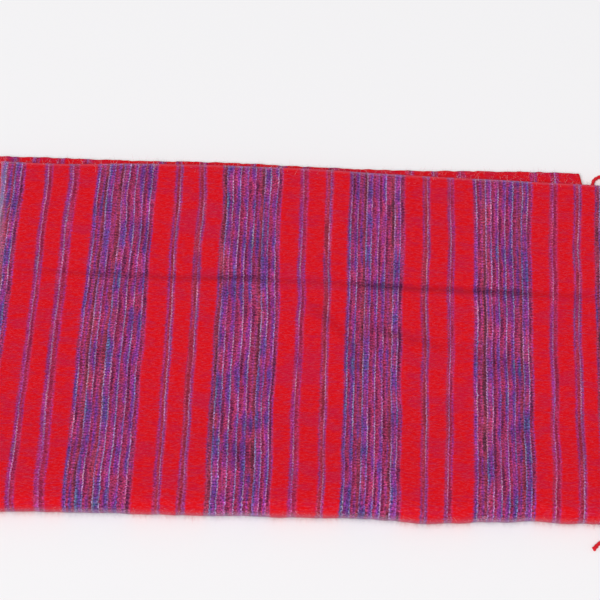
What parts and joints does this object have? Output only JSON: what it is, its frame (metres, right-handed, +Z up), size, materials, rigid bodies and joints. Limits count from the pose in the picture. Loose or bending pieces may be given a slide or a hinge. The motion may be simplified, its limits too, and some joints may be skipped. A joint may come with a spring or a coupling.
{
  "type": "folded wool blanket",
  "caption": "Striped, brushed wool blanket with twisted fringe at both warp ends, folded crosswise and then lengthwise into a flat rectangular pile of layers.",
  "frame": {"origin": "centre of the footprint, on the surface that the blanket lies on", "axes": "+X along the warp, from the end whose fringe hangs from the inner panels to the end whose fringe hangs from the outer panels; +Y from the rounded front fold to the selvedges at the back; +Z up"},
  "size_m": [0.9364, 0.4892, 0.0287],
  "materials": {
    "cloth": "brushed striped wool",
    "fringe": "twisted wool cord"
  },
  "bodies": {
    "root": {"woven_cloth": "cloth", "fringe_right": "fringe", "fringe_left": "fringe"}
  },
  "joints": []
}
